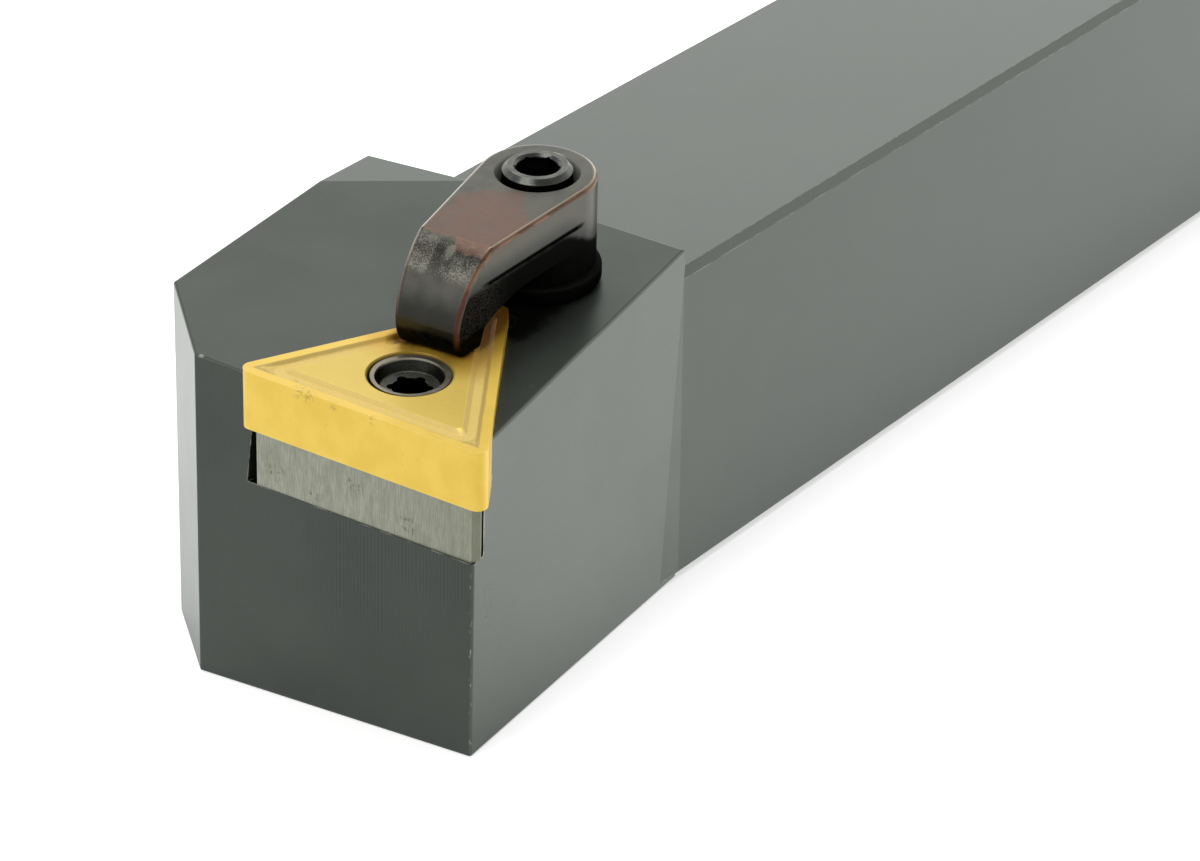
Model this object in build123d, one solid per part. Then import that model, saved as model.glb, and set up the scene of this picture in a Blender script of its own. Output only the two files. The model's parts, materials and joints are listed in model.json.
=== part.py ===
from build123d import *
import math
import os

os.makedirs("parts", exist_ok=True)

# Turning tool holder with a square shank, for a pinned and clamped triangular insert.
# Millimetres. +X runs along the shank towards the cutting head, +Y towards the side
# that carries the cutting point, +Z up. The origin is on the underside of the shank,
# on its centre line, halfway along the straight part.

# ---- shank ----
overall_length = 152.4  # rear end of the shank to the cutting point
shank_width = 25.4
shank_height = 25.4
shank_chamfer = 0.6  # on the four long edges

# ---- cutting head ----
head_length = 33.3  # front face back to the step down to the shank
head_back_overhang = 3.2  # stands out past the shank on the side away from the cut
head_back_relief = 1.0  # degrees, that side leans in towards the underside
head_flare = 3.35  # the cutting side widens by this much from the step to the front
head_flare_relief = 0.6  # degrees, the flared side leans in towards the underside
head_rise = 3.05  # flat left behind the tilted top face, above the shank's top
front_skew = 1.0  # degrees, the front face turns back away from the cutting point
facet_front_width = 7.55  # corner facet, measured across the front face
facet_side_length = 8.15  # corner facet, measured along the head's side
head_edge_round = 0.22  # all its outer edges but those on the step

# ---- tilted seat ----
front_tilt = 5.5  # degrees, the top face falls towards the front
side_tilt = 3.8  # degrees, the top face falls towards the cutting side
insert_stand = 1.08  # the insert's top stands above the head's top face by this much

# ---- insert: equilateral, double sided ----
insert_circle = 12.7  # inscribed circle
insert_thickness = 4.76
insert_nose_radius = 0.8
insert_overhang = 1.33  # sharp corner ahead of the front face
tip_side = 17.97  # sharp corner to the shank's centre line
tip_drop = 0.8  # sharp corner below the shank's top face
insert_hole_radius = 3.06
hole_edge_chamfer = 0.12
breaker_land = 0.75  # flat rim left along the cutting edges
breaker_width = 1.3  # groove from the rim to the raised middle
breaker_depth = 0.25
breaker_wall = 55.0  # degrees from the vertical, both walls of the groove
breaker_inner_radius = 0.4  # corners of the raised middle

# ---- shim seat under the insert ----
shim_circle = 11.6
shim_thickness = 4.76
shim_corner_facet = 0.74  # length of the flat across each corner
shim_wall_gap = 0.12  # to the pocket's two walls
shim_bore_radius = 2.95
pocket_corner_relief = 1.1  # radius of the round relief in the pocket's back corner

# ---- lock pin: eccentric head in the insert, flange in the shim, thread in the head ----
pin_head_radius = 2.92
pin_throw = 0.10  # centre of the head to the axis that the pin turns about
pin_press_gap = 0.02  # left between the pin's head and the insert's hole when locked
pin_rim_drop = 0.15  # rim below the insert's top
pin_recess_radius = 2.55
pin_recess_floor_radius = 2.17
pin_recess_depth = 0.95
pin_socket_radius = 1.70  # across the six lobes
pin_socket_waist = 1.36  # between the lobes
pin_lobe_radius = 0.39
pin_socket_depth = 2.2
pin_flange_radius = 4.1
pin_flange_gap = 0.14  # flange to the insert above it
flange_seat_clearance = 0.2  # radial, flange to the counterbore in the shim
flange_seat_depth = 1.8
pin_stem_radius = 2.75
stem_clearance = 0.05  # radial, in the head's threaded hole
pin_thread_length = 7.0
hole_end_gap = 1.2  # below the ends of the pin and of the clamp screw

# ---- top clamp ----
screw_back = 18.46  # clamp screw behind the insert's centre
screw_side = -1.58  # and beside it
clamp_turn = 3.3  # degrees, the clamp points this far towards the cutting side
clamp_height = 8.8  # top face above the head's top face
boss_radius = 4.42
clamp_taper = 6.7  # degrees, each side of the arm
nose_reach = 15.6  # screw to the front of the nose
nose_front_height = 2.9  # the nose is furthest forward here
knee_setback = 4.3  # front of the nose back to where the arm bends down
knee_drop = 0.12  # the top face falls this much from the back to the knee
brow_slope = 0.42  # fall for each millimetre forwards, where the brow leaves the knee
brow_high_setback = 2.15  # brow's upper point, behind the front of the nose
brow_high_share = 0.75  # its height, from the nose up to the top face
brow_low_setback = 0.65  # brow's lower point, behind the front of the nose
brow_low_share = 0.42  # its height, from the nose up to the top face
pad_setback = 1.1  # front of the nose back to the flat that presses on the insert
pad_length = 1.5
toe_swell = 0.4  # the toe's last point, ahead of the pad
toe_rise = 0.17  # and above it
toe_slope = 0.1  # fall for each millimetre backwards, where the toe meets the pad
arch_height = 4.1  # underside of the arm
clamp_edge_round = 0.4
heel_setback = 3.2  # front of the nose back to where the arch begins
heel_height = 2.6
heel_slope = 0.73  # rise for each millimetre backwards, where the arch begins
arch_reach = 7.0  # the arch is flat from here back to the boss
arch_sag = 0.45  # middle of the arch's front curve, below its flat part
foot_radius = 4.85  # rounded foot at the bottom of the boss
foot_height = 1.7
foot_round = 0.55
seam_height = 6.0  # forging seam along both sides of the arm
seam_back = 1.4  # screw to the back end of the seam
seam_setback = 3.6  # front of the nose back to its front end
seam_width = 0.3
seam_depth = 0.22
clamp_countersink_radius = 3.22
clamp_countersink_depth = 0.75

# ---- clamp screw ----
screw_radius = 2.62
screw_foot_radius = 2.4  # lower thread, in the head
screw_clearance = 0.05  # radial, in the clamp and in the head
screw_stand = 0.55  # end above the clamp's top face
screw_depth = 9.0  # below the head's top face
screw_step_height = 1.5  # change of diameter above the head's top face
screw_chamfer = 0.38
hex_key = 2.95  # across flats
hex_depth = 3.2
hex_lead = 0.22  # chamfer round the mouth of the socket

# ---- places worked out from the sizes above ----
big = 200.0  # larger than the whole tool
edge_near = 0.1  # how close an edge's middle lies to a place that picks it
shank_length = overall_length - head_length - insert_overhang
rear_x = -shank_length / 2
step_x = shank_length / 2
front_x = step_x + head_length
shank_side = shank_width / 2
head_side = shank_side + head_flare
back_side = -shank_side - head_back_overhang
head_stock_height = shank_height + head_rise
tip_height = shank_height - tip_drop
insert_inradius = insert_circle / 2
shim_inradius = shim_circle / 2
insert_half_edge = insert_inradius * math.sqrt(3)
seat_depth = insert_thickness + shim_thickness
knee_reach = nose_reach - knee_setback
pad_front = nose_reach - pad_setback
pad_back = pad_front - pad_length
heel_reach = nose_reach - heel_setback
seam_length = nose_reach - seam_setback - seam_back
seam_middle = seam_back + seam_length / 2

normal = Vector(math.tan(math.radians(front_tilt)), math.tan(math.radians(side_tilt)), 1).normalized()
skew = math.radians(front_skew)
across = Vector(math.sin(skew), math.cos(skew), 0)
across = (across - normal * across.dot(normal)).normalized()
forward = across.cross(normal)
tip = Vector(front_x + insert_overhang, tip_side, tip_height)
insert_centre = tip - forward * insert_inradius - across * insert_half_edge

# Seat frame: x forwards, y towards the cutting point, z up out of the insert's top face.
seat = Plane(origin=insert_centre, x_dir=forward, z_dir=normal)
head_top = seat.offset(-insert_stand)
# Clamp frame: on the head's top face at the screw, x towards the clamp's nose.
clamp_frame = Plane(head_top * Location((-screw_back, screw_side, 0), (0, 0, clamp_turn)))
# Pin frame: on the axis that the pin turns about, level with the insert's top face.
pin_shift = insert_hole_radius - pin_head_radius - pin_press_gap - pin_throw
pin_frame = Plane(seat * Location((-pin_shift, 0, 0)))


def half_space(point, outward):
    """A block that fills the side of a plane that its outward normal points to."""
    block = Box(big, big, big, align=(Align.CENTER, Align.CENTER, Align.MIN))
    return Plane(origin=point, z_dir=outward) * block


def rod(radius, bottom, top):
    """A cylinder on the z axis between two heights."""
    return Pos(0, 0, bottom) * Cylinder(radius, top - bottom, align=(Align.CENTER, Align.CENTER, Align.MIN))


def triangle(inradius):
    """An equilateral triangle about the origin with one edge across the front."""
    half = inradius * math.sqrt(3)
    return Polygon((inradius, -half), (inradius, half), (-2 * inradius, 0), align=None)


def rounded_triangle(inradius, radius):
    """The same triangle with its corners rounded."""
    flat = triangle(inradius)
    return fillet(flat.vertices(), radius)


def wedge(inradius):
    """The open V between the two back edges of a triangle, run out past the head."""
    reach = head_length
    half = (reach + 2 * inradius) / math.sqrt(3)
    return Polygon((-2 * inradius, 0), (reach, -half), (reach, half), align=None)


def is_outer_edge(edge):
    """True for the head's edges that don't lie on the step down to the shank."""
    middle = edge.center()
    return middle.X > step_x + edge_near or middle.Z > shank_height


def holder_body():
    """Shank and head in one piece, with the pocket and the two threaded holes."""
    shank = Pos(rear_x, 0, 0) * Box(
        step_x - rear_x + head_length / 2,
        shank_width,
        shank_height,
        align=(Align.MIN, Align.CENTER, Align.MIN),
    )
    shank = chamfer(shank.edges().filter_by(Axis.X), shank_chamfer)

    head = Pos(step_x, back_side, 0) * Box(
        head_length + head_side,
        head_side - back_side + head_side,
        head_stock_height,
        align=(Align.MIN, Align.MIN, Align.MIN),
    )
    front_normal = Vector(math.cos(skew), -math.sin(skew), 0)
    head -= half_space((front_x, head_side, 0), front_normal)
    flare_normal = Vector(-head_flare / head_length, 1, -math.tan(math.radians(head_flare_relief)))
    head -= half_space((step_x, shank_side, shank_height), flare_normal)
    back_normal = Vector(0, -1, -math.tan(math.radians(head_back_relief)))
    head -= half_space((step_x, back_side, head_stock_height), back_normal)
    facet_side_x = front_x - facet_side_length
    facet_front_y = back_side + facet_front_width
    facet_front_x = front_x - (head_side - facet_front_y) * math.tan(skew)
    facet_normal = Vector(facet_front_width, -(facet_front_x - facet_side_x), 0)
    head -= half_space((facet_side_x, back_side, 0), facet_normal)
    head -= half_space(head_top.origin, normal)
    head = fillet([edge for edge in head.edges() if is_outer_edge(edge)], head_edge_round)
    body = shank + head

    insert_room = extrude(wedge(insert_inradius), big / 2)
    shim_room = extrude(wedge(shim_inradius + shim_wall_gap), big / 2)
    corner = rod(pocket_corner_relief, -seat_depth, big / 2)
    corner_x = pocket_corner_relief - 2 * insert_inradius
    body -= seat * Pos(0, 0, -insert_thickness) * insert_room
    body -= seat * Pos(0, 0, -seat_depth) * shim_room
    body -= seat * Pos(corner_x, 0, 0) * corner

    pin_hole = rod(pin_stem_radius + stem_clearance, -seat_depth - pin_thread_length - hole_end_gap, 0)
    body -= pin_frame * pin_hole
    screw_hole = rod(screw_foot_radius + screw_clearance, -screw_depth - hole_end_gap, big / 2)
    body -= clamp_frame * screw_hole
    return body


def breaker_groove():
    """Ring cut that leaves a rim along the edges and a raised middle, on the top face."""
    spread = breaker_depth * math.tan(math.radians(breaker_wall))
    outer_top = insert_inradius - breaker_land
    inner_top = outer_top - breaker_width
    outer = loft(
        [
            rounded_triangle(outer_top, insert_nose_radius),
            Pos(0, 0, -breaker_depth) * rounded_triangle(outer_top - spread, insert_nose_radius),
        ]
    )
    inner = loft(
        [
            rounded_triangle(inner_top, breaker_inner_radius),
            Pos(0, 0, -breaker_depth) * rounded_triangle(inner_top + spread, breaker_inner_radius),
        ]
    )
    return outer - inner


def carbide_insert():
    """Negative triangular insert with a chip-breaker groove on both faces."""
    blank = extrude(rounded_triangle(insert_inradius, insert_nose_radius), -insert_thickness)
    blank -= rod(insert_hole_radius, -insert_thickness, 0)
    blank = chamfer(blank.edges().filter_by(GeomType.CIRCLE).filter_by(is_hole_edge), hole_edge_chamfer)
    groove = breaker_groove()
    blank -= groove
    blank -= Pos(0, 0, -insert_thickness) * mirror(groove, about=Plane.XY)
    return seat * blank


def is_hole_edge(edge):
    """True for the rims of the insert's middle hole."""
    return abs(edge.radius - insert_hole_radius) < hole_edge_chamfer


def shim_seat():
    """Ground plate under the insert, its corners cut off, counterbored for the pin."""
    half = shim_inradius * math.sqrt(3)
    corners = chamfer(triangle(shim_inradius).vertices(), shim_corner_facet)
    plate = extrude(corners, -shim_thickness)
    plate = Pos(0, 0, -insert_thickness) * plate
    plate -= rod(shim_bore_radius, -seat_depth, 0)
    seat_radius = pin_flange_radius + flange_seat_clearance
    plate -= rod(seat_radius, -insert_thickness - flange_seat_depth, 0)
    return seat * plate


def lobed_socket(depth):
    """Six-lobed driver socket below the plane z = 0."""
    shape = Circle(pin_socket_waist)
    for place in PolarLocations(pin_socket_radius - pin_lobe_radius, 6):
        shape += place * Circle(pin_lobe_radius)
    return extrude(shape, -depth)


def lock_pin():
    """Pin whose eccentric head pulls the insert into the pocket as it turns."""
    head_top_z = -pin_rim_drop
    flange_top = -insert_thickness - pin_flange_gap
    flange_bottom = -insert_thickness - flange_seat_depth
    stem_bottom = -seat_depth - pin_thread_length
    pin = Pos(-pin_throw, 0, 0) * rod(pin_head_radius, flange_top, head_top_z)
    pin += rod(pin_flange_radius, flange_bottom, flange_top)
    pin += rod(pin_stem_radius, stem_bottom, flange_bottom)
    recess = Cone(
        pin_recess_floor_radius,
        pin_recess_radius,
        pin_recess_depth,
        align=(Align.CENTER, Align.CENTER, Align.MAX),
    )
    pin -= Pos(0, 0, head_top_z) * recess
    pin -= Pos(0, 0, head_top_z - pin_recess_depth) * lobed_socket(pin_socket_depth)
    return pin_frame * pin


def arm_plan():
    """Outline of the clamp seen from above, in the clamp frame."""
    slope = math.radians(clamp_taper)
    start_x = boss_radius * math.sin(slope)
    start_y = boss_radius * math.cos(slope)
    end_y = start_y - (nose_reach - start_x) * math.tan(slope)
    outline = Polygon(
        (start_x, -start_y),
        (nose_reach, -end_y),
        (nose_reach, end_y),
        (start_x, start_y),
        align=None,
    )
    return outline + Circle(boss_radius)


def arm_profile():
    """Side view of the arm: x forwards, y up from the head's top face."""
    back_x = -boss_radius
    knee = (knee_reach, clamp_height - knee_drop)
    nose_front = (nose_reach, nose_front_height)
    toe = (pad_front, insert_stand)
    heel = (heel_reach, heel_height)
    crown = (arch_reach, arch_height)
    # The brow and the toe are one smooth curve, worked out from the knee, the nose and the pad.
    drop = clamp_height - nose_front_height
    brow = [
        knee,
        (nose_reach - brow_high_setback, nose_front_height + brow_high_share * drop),
        (nose_reach - brow_low_setback, nose_front_height + brow_low_share * drop),
        nose_front,
        (pad_front + toe_swell, insert_stand + toe_rise),
        toe,
    ]
    arch_middle = ((heel_reach + arch_reach) / 2, arch_height - arch_sag)
    outline = [
        Line((back_x, clamp_height), knee),
        Spline(brow, tangents=[(1, -brow_slope), (-1, -toe_slope)]),
        Line(toe, (pad_back, insert_stand)),
        Line((pad_back, insert_stand), heel),
        Spline([heel, arch_middle, crown], tangents=[(-1, heel_slope), (-1, 0)]),
        Line(crown, (back_x, arch_height)),
        Line((back_x, arch_height), (back_x, clamp_height)),
    ]
    return make_face(Wire(outline))


def side_seam(side):
    """Forging seam on one side of the arm, as a slim bar to cut away."""
    slope = math.radians(clamp_taper)
    middle_y = boss_radius / math.cos(slope) - seam_middle * math.tan(slope)
    bar = Box(seam_length, 2 * seam_depth, seam_width)
    return Location((seam_middle, side * middle_y, seam_height), (0, 0, -side * clamp_taper)) * bar


def is_worn_edge(edge):
    """True for the edges round the arm's top face and down both sides of its nose."""
    middle = edge.center()
    round_top = middle.Z > clamp_height - 2 * knee_drop and abs(middle.X - knee_reach) > edge_near
    ahead = middle.X > (knee_reach + nose_reach) / 2 and middle.Z > insert_stand + edge_near
    down_nose = ahead and abs(middle.Y) > edge_near
    return round_top or down_nose


def top_clamp():
    """Finger clamp: a boss round the screw and an arm that bears on the insert."""
    plan = extrude(arm_plan(), clamp_height)
    side = extrude(Plane.XZ.offset(-boss_radius) * arm_profile(), 2 * boss_radius)
    arm = plan & side
    arm = fillet([edge for edge in arm.edges() if is_worn_edge(edge)], clamp_edge_round)
    foot = rod(foot_radius, 0, foot_height)
    foot = fillet(foot.edges().filter_by(GeomType.CIRCLE), foot_round)
    boss = rod(boss_radius, 0, (arch_height + clamp_height) / 2)
    clamp = arm + boss + foot
    for side_sign in (1, -1):
        clamp -= side_seam(side_sign)
    clamp -= rod(screw_radius + screw_clearance, 0, clamp_height)
    sink = Cone(
        screw_radius + screw_clearance,
        clamp_countersink_radius,
        clamp_countersink_depth,
        align=(Align.CENTER, Align.CENTER, Align.MAX),
    )
    clamp -= Pos(0, 0, clamp_height) * sink
    return clamp_frame * clamp


def clamp_screw():
    """Headless screw with two opposite threads and a hexagon socket in its upper end."""
    top = clamp_height + screw_stand
    screw = rod(screw_radius, screw_step_height, top)
    screw = chamfer(screw.edges().filter_by(GeomType.CIRCLE), screw_chamfer)
    screw += rod(screw_foot_radius, -screw_depth, screw_step_height)
    hexagon = RegularPolygon(hex_key / math.sqrt(3), 6, major_radius=True)
    screw -= Pos(0, 0, top) * extrude(hexagon, -hex_depth)
    lead_radius = hex_key / math.sqrt(3) + hex_lead / 2
    lead_depth = 2 * hex_lead
    lead = Cone(
        lead_radius - lead_depth,
        lead_radius,
        lead_depth,
        align=(Align.CENTER, Align.CENTER, Align.MAX),
    )
    screw -= Pos(0, 0, top) * lead
    return clamp_frame * screw


export_step(holder_body(), "parts/holder_body.step")
export_step(carbide_insert(), "parts/carbide_insert.step")
export_step(shim_seat(), "parts/shim_seat.step")
export_step(lock_pin(), "parts/lock_pin.step")
export_step(top_clamp(), "parts/top_clamp.step")
export_step(clamp_screw(), "parts/clamp_screw.step")
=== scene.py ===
import json
import math

import bpy
from mathutils import Matrix, Vector


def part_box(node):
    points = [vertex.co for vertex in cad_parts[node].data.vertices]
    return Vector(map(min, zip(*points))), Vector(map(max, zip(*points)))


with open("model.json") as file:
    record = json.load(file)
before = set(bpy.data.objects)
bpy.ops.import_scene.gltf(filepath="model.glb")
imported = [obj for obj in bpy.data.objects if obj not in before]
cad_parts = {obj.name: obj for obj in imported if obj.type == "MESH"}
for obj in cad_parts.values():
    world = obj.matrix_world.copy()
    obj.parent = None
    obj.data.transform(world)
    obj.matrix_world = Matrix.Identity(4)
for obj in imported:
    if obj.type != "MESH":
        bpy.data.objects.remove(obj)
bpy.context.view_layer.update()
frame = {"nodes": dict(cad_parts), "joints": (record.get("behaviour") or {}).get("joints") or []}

MM = 0.001

# ---- the photograph's camera, in the part's own frame ----
PHOTO_WIDTH = 1200  # pixels
FOCAL_PIXELS = 5397.4  # focal length in pixels of the photograph
SENSOR = 36.0  # millimetres across
CAMERA_AIM = Vector((62.86, 7.97, 12.7)) * MM
CAMERA_DISTANCE = 406.5 * MM
CAMERA_ELEVATION = math.radians(24.29)
CAMERA_BEARING = math.radians(31.96)  # from +X towards +Y
CAMERA_ROLL = math.radians(0.856)
CAMERA_NEAR = 0.01  # metres
CAMERA_FAR = 20


def make_camera():
    """A long lens in front of the head, on the cutting side and a little above the tool."""
    level = math.cos(CAMERA_ELEVATION)
    back = Vector((
        level * math.cos(CAMERA_BEARING),
        level * math.sin(CAMERA_BEARING),
        math.sin(CAMERA_ELEVATION),
    ))
    right = Vector((0, 0, 1)).cross(back).normalized()
    up = back.cross(right)
    turn = Matrix.Rotation(CAMERA_ROLL, 3, back)
    right = turn @ right
    up = turn @ up
    data = bpy.data.cameras.new("camera")
    data.sensor_width = SENSOR
    data.lens = SENSOR * FOCAL_PIXELS / PHOTO_WIDTH
    data.clip_start = CAMERA_NEAR
    data.clip_end = CAMERA_FAR
    camera = bpy.data.objects.new("camera", data)
    bpy.context.scene.collection.objects.link(camera)
    axes = Matrix((right, up, back)).transposed()
    camera.matrix_world = Matrix.Translation(CAMERA_AIM + back * CAMERA_DISTANCE) @ axes.to_4x4()
    bpy.context.scene.camera = camera


make_camera()

# ---- directions, and points in metres ----
X_AXIS = Vector((1, 0, 0))
Y_AXIS = Vector((0, 1, 0))
Z_AXIS = Vector((0, 0, 1))
PART_AXES = (X_AXIS, Y_AXIS, Z_AXIS)
JOINTS = {joint["name"]: joint for joint in frame["joints"]}
NORMAL = Vector(JOINTS["clamp_screw_turn"]["axis"]).normalized()  # out of the head's tilted top face
SCREW_POINT = Vector(JOINTS["clamp_screw_turn"]["pos_m"])  # on the head's top face
PIN_POINT = Vector(JOINTS["lock_pin_turn"]["pos_m"])  # level with the insert's top face

# ---- sizes of the part, in millimetres ----
FRONT_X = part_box("holder_body")[1][0] / MM
HEAD_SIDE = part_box("holder_body")[1][1] / MM
HEAD_LENGTH = 33.3
STEP_X = FRONT_X - HEAD_LENGTH  # where the shank begins
FRONT_SKEW = math.radians(1.0)
INSERT_INRADIUS = 6.35
INSERT_THICKNESS = 4.76
HOLE_RADIUS = 3.06
GROOVE_OUTER = 0.75  # in from the insert's edge
GROOVE_INNER = 2.05
PIN_RIM = -0.15  # up from the insert's top face
PIN_LEDGE = -1.10
PIN_RECESS_RADIUS = 2.55
PIN_SOCKET_RADIUS = 1.70
CLAMP_TURN = math.radians(3.3)
CLAMP_TOP = 8.8  # up from the head's top face
KNEE = 11.3  # forward from the screw, where the arm bends down
SEAM_HEIGHT = 6.0
SEAM_ENDS = (1.4, 12.0)  # forward from the screw
SINK_RADIUS = 3.22  # countersink round the clamp screw
SINK_DEPTH = 0.75
SCREW_STAND = 0.55
SCREW_TOP = CLAMP_TOP + SCREW_STAND
SCREW_CHAMFER = 0.38
SCREW_SOCKET_RADIUS = 1.8  # about that of the hexagon's chamfered mouth
THREAD_PITCH = 0.9
THREAD_DEPTH = 0.35


def seat_axes():
    """Forwards, sideways and upwards along the insert's tilted top face."""
    across = Vector((math.sin(FRONT_SKEW), math.cos(FRONT_SKEW), 0))
    across = (across - NORMAL * across.dot(NORMAL)).normalized()
    return across.cross(NORMAL), across, NORMAL


SEAT = seat_axes()
CLAMP_X = SEAT[0] * math.cos(CLAMP_TURN) + SEAT[1] * math.sin(CLAMP_TURN)
CLAMP = (CLAMP_X, NORMAL.cross(CLAMP_X), NORMAL)


class Finish:
    """One procedural material, with short calls for the nodes that it is made of.

    A mask is a number that goes from 0, where something is hidden, to 1, where it shows.
    """

    def __init__(self, name, metallic):
        self.material = bpy.data.materials.new(name)
        self.material.use_nodes = True
        self.nodes = self.material.node_tree.nodes
        self.links = self.material.node_tree.links
        self.shader = self.nodes["Principled BSDF"]
        self.shader.inputs["Metallic"].default_value = metallic
        coordinates = self.nodes.new("ShaderNodeTexCoord")
        self.place = coordinates.outputs["Object"]
        self.normal = coordinates.outputs["Normal"]

    def feed(self, socket, value):
        """Puts a number, a colour or another node's output into a socket."""
        if isinstance(value, bpy.types.NodeSocket):
            self.links.new(value, socket)
        elif hasattr(value, "__len__") and socket.type == "RGBA":
            socket.default_value = (*value[:3], 1)
        else:
            socket.default_value = value

    # ---- numbers and vectors ----
    def math(self, operation, first, second=0.0, third=0.0):
        """One math node, such as SINE or MAXIMUM."""
        node = self.nodes.new("ShaderNodeMath")
        node.operation = operation
        for socket, value in zip(node.inputs, (first, second, third)):
            self.feed(socket, value)
        return node.outputs[0]

    def plus(self, first, second):
        """first + second"""
        return self.math("ADD", first, second)

    def minus(self, first, second):
        """first - second"""
        return self.math("SUBTRACT", first, second)

    def times(self, *values):
        """The product of all the values."""
        product = values[0]
        for value in values[1:]:
            product = self.math("MULTIPLY", product, value)
        return product

    def ramp(self, value, slope, start):
        """slope * value + start"""
        return self.math("MULTIPLY_ADD", value, slope, start)

    def blend(self, amount, first, second):
        """A number that goes from first to second."""
        node = self.nodes.new("ShaderNodeMix")
        self.feed(node.inputs["Factor"], amount)
        self.feed(node.inputs[2], first)  # 2 and 3 are the inputs for numbers
        self.feed(node.inputs[3], second)
        return node.outputs[0]

    def vector(self, operation, first, second):
        """One vector math node, such as SUBTRACT or DOT_PRODUCT."""
        node = self.nodes.new("ShaderNodeVectorMath")
        node.operation = operation
        self.feed(node.inputs[0], first)
        self.feed(node.inputs[1], second)
        return node.outputs["Value" if operation == "DOT_PRODUCT" else "Vector"]

    def combine(self, x, y, z):
        """Three numbers joined into a place."""
        node = self.nodes.new("ShaderNodeCombineXYZ")
        for socket, value in zip(node.inputs, (x, y, z)):
            self.feed(socket, value)
        return node.outputs[0]

    # ---- where a point lies, and which way its face looks ----
    def local(self, origin, axes):
        """Position in millimetres along three axes from an origin, as three numbers."""
        offset = self.vector("SUBTRACT", self.place, origin)
        return [self.vector("DOT_PRODUCT", offset, axis / MM) for axis in axes]

    def away(self, first, second):
        """Distance from the origin of two coordinates."""
        return self.math("SQRT", self.plus(self.math("POWER", first, 2), self.math("POWER", second, 2)))

    def tilt(self, axis):
        """1 on faces that look along an axis, 0 on faces square to it, -1 on faces that look back."""
        return self.vector("DOT_PRODUCT", self.normal, axis)

    # ---- masks ----
    def step(self, value, zero_at, one_at):
        """A smooth step that is 0 at one value and 1 at the other."""
        node = self.nodes.new("ShaderNodeMapRange")
        node.interpolation_type = "SMOOTHSTEP"
        self.feed(node.inputs["Value"], value)
        low, high = sorted((zero_at, one_at))
        node.inputs["From Min"].default_value = low
        node.inputs["From Max"].default_value = high
        node.inputs["To Min"].default_value = 0.0 if zero_at < one_at else 1.0
        node.inputs["To Max"].default_value = 1.0 if zero_at < one_at else 0.0
        return node.outputs[0]

    def band(self, value, low, high, soft):
        """1 between low and high, falling to 0 over soft outside them."""
        return self.times(self.step(value, low - soft, low), self.step(value, high + soft, high))

    def spot(self, first, second, centre, size, soft):
        """1 inside a round spot, falling to 0 over soft outside it."""
        reach = self.away(self.minus(first, centre[0]), self.minus(second, centre[1]))
        return self.step(reach, size + soft, size)

    def facing(self, axis, least=0.9):
        """1 on faces that look along an axis, 0 on faces turned away from it."""
        return self.step(self.tilt(axis), least, least + 0.05)

    def either(self, *masks):
        """The largest of some masks."""
        largest = masks[0]
        for mask in masks[1:]:
            largest = self.math("MAXIMUM", largest, mask)
        return largest

    def outside(self, mask):
        """1 where a mask is 0, and 0 where it is 1."""
        return self.minus(1.0, mask)

    def noise(self, size, stretch=(1, 1, 1), detail=3.0, place=None, seed=0.0):
        """Noise with blotches about as large as size, in the units of place, stretched along some axes."""
        scaled = self.vector("MULTIPLY", place or self.place, Vector([1 / s for s in stretch]) / size)
        scaled = self.vector("ADD", scaled, (seed, -seed, 2 * seed))
        node = self.nodes.new("ShaderNodeTexNoise")
        node.inputs["Scale"].default_value = 1.0
        node.inputs["Detail"].default_value = detail
        self.links.new(scaled, node.inputs["Vector"])
        return node.outputs["Fac"]

    def spread(self, noise):
        """Noise, which keeps to its middle values, widened to the whole range from 0 to 1."""
        return self.step(noise, 0.35, 0.65)

    def edges(self, radius):
        """1 on edges and corners, fading out over radius, in metres, on the faces beside them."""
        bevel = self.nodes.new("ShaderNodeBevel")
        bevel.samples = 6
        bevel.inputs["Radius"].default_value = radius
        flat = self.nodes.new("ShaderNodeNewGeometry").outputs["Normal"]
        return self.step(self.vector("DOT_PRODUCT", bevel.outputs[0], flat), 0.995, 0.93)

    # ---- colour and relief ----
    def mix(self, amount, first, second):
        """A colour that goes from first to second."""
        node = self.nodes.new("ShaderNodeMix")
        node.data_type = "RGBA"
        self.feed(node.inputs["Factor"], amount)
        self.feed(node.inputs[6], first)  # 6 and 7 are the inputs for colours
        self.feed(node.inputs[7], second)
        return node.outputs[2]

    def cover(self, colour, mask, over, strength=1.0):
        """A colour with another one laid over it where a mask shows it."""
        return self.mix(self.times(mask, strength), colour, over)

    def bump(self, height, depth, before=None):
        """Relief of that depth in metres, on top of the relief before it."""
        node = self.nodes.new("ShaderNodeBump")
        node.inputs["Distance"].default_value = depth
        self.feed(node.inputs["Height"], height)
        if before is not None:
            self.links.new(before, node.inputs["Normal"])
        return node.outputs["Normal"]

    def finish(self, colour, roughness, normal, mute=None):
        """Joins the colour, roughness and relief to the shader; mute takes the shine off a masked area."""
        self.feed(self.shader.inputs["Base Color"], colour)
        self.feed(self.shader.inputs["Roughness"], roughness)
        self.feed(self.shader.inputs["Normal"], normal)
        if mute is not None:
            self.feed(self.shader.inputs["Specular Tint"], self.mix(mute, (1, 1, 1), (0, 0, 0)))
            self.feed(self.shader.inputs["Specular IOR Level"], self.blend(mute, 0.5, 0.0))
        return self.material


def srgb(*colour):
    """A colour given as the eye sees it, 0 to 255, as the linear values that a shader takes."""
    return tuple((c / 255 / 12.92) if c < 11 else ((c / 255 + 0.055) / 1.055) ** 2.4 for c in colour)


# painted shade: near black, in the pin's recess and socket, and under the clamp's arm and in its bore
SHADE_BLACK = srgb(8, 8, 7)

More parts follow.
